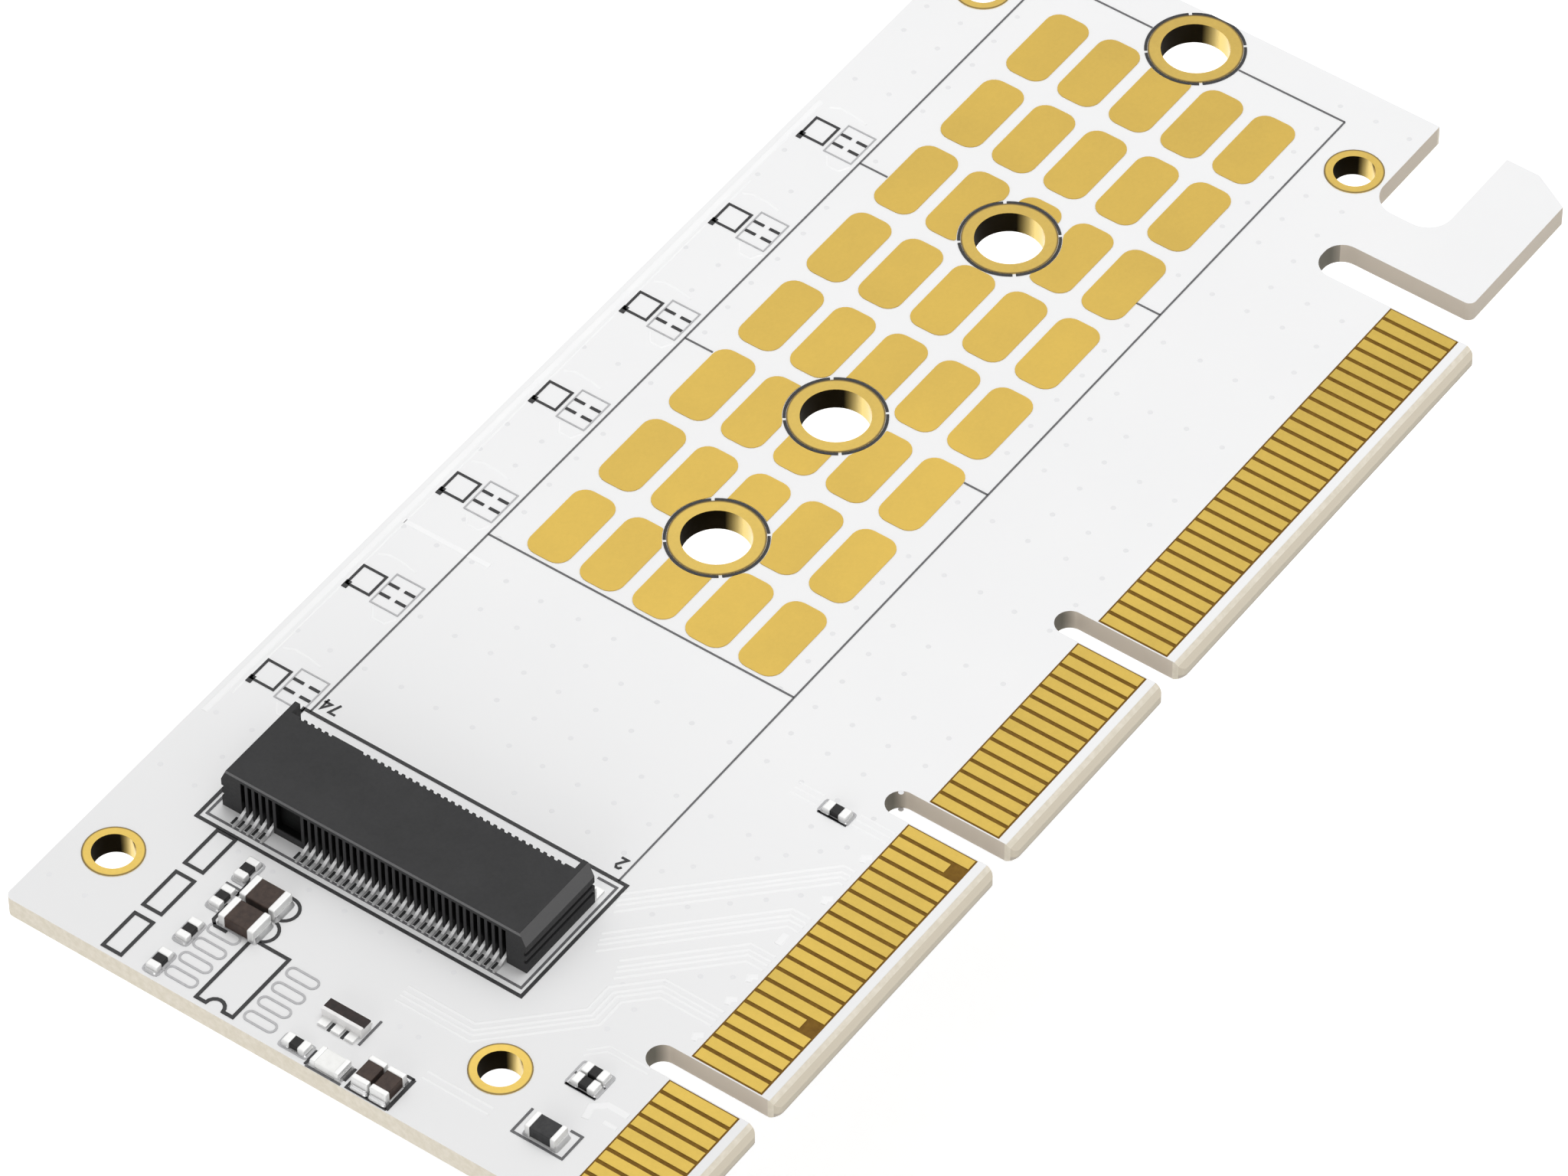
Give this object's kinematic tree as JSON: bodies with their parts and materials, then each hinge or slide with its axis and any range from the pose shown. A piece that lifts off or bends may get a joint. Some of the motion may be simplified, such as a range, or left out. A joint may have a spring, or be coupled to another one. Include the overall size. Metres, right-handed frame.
{
  "type": "solid-state drive adapter card",
  "caption": "Low-profile expansion card with keyed gold edge contacts, a retention hook, and a socket, plated holes and heat-spreading lands for one plug-in solid-state drive.",
  "frame": {"origin": "middle of the card's bounding footprint, on the underside of the board", "axes": "+X along the edge contacts from the socket end to the retention hook, +Y from the edge contacts to the card's upper edge, +Z out of the component side"},
  "size_m": [0.0986, 0.0446, 0.0047],
  "materials": {
    "board": "glass-epoxy board in satin white solder mask, bare beige at its cut edges",
    "gold_plate": "gold-plated copper, satin",
    "socket_moulding": "moulded thermoplastic, matt",
    "spring_contact": "tin-plated spring alloy",
    "tin_terminal": "tin-plated end cap",
    "brown_ceramic": "fired ceramic, matt",
    "dark_ceramic": "coated ceramic, matt",
    "lamp_body": "white moulded lamp body"
  },
  "bodies": {
    "root": {"capacitor_1_body": "brown_ceramic", "capacitor_1_ends": "tin_terminal", "capacitor_2_body": "brown_ceramic", "capacitor_2_ends": "tin_terminal", "capacitor_3_body": "brown_ceramic", "capacitor_3_ends": "tin_terminal", "capacitor_4_body": "brown_ceramic", "capacitor_4_ends": "tin_terminal", "chip_array_body": "brown_ceramic", "chip_array_leads": "tin_terminal", "circuit_board": "board", "edge_contacts_bottom_1": "gold_plate", "edge_contacts_bottom_2": "gold_plate", "edge_contacts_bottom_3": "gold_plate", "edge_contacts_bottom_4": "gold_plate", "edge_contacts_top_1": "gold_plate", "edge_contacts_top_2": "gold_plate", "edge_contacts_top_3": "gold_plate", "edge_contacts_top_4": "gold_plate", "heat_lands": "gold_plate", "indicator_lamp_body": "lamp_body", "indicator_lamp_ends": "tin_terminal", "inductor_body": "dark_ceramic", "inductor_ends": "tin_terminal", "mounting_barrel_1": "gold_plate", "mounting_barrel_2": "gold_plate", "mounting_barrel_3": "gold_plate", "mounting_barrel_4": "gold_plate", "resistor_1_body": "dark_ceramic", "resistor_1_ends": "tin_terminal", "resistor_2_body": "dark_ceramic", "resistor_2_ends": "tin_terminal", "resistor_3_body": "dark_ceramic", "resistor_3_ends": "tin_terminal", "resistor_4_body": "dark_ceramic", "resistor_4_ends": "tin_terminal", "resistor_5_body": "dark_ceramic", "resistor_5_ends": "tin_terminal", "resistor_6_body": "dark_ceramic", "resistor_6_ends": "tin_terminal", "resistor_7_body": "dark_ceramic", "resistor_7_ends": "tin_terminal", "resistor_8_body": "dark_ceramic", "resistor_8_ends": "tin_terminal", "socket_housing": "socket_moulding", "socket_lower_contacts": "spring_contact", "socket_tab_high": "spring_contact", "socket_tab_low": "spring_contact", "socket_upper_contacts": "spring_contact", "standoff_barrel_30": "gold_plate", "standoff_barrel_42": "gold_plate", "standoff_barrel_60": "gold_plate", "standoff_barrel_80": "gold_plate"}
  },
  "joints": []
}
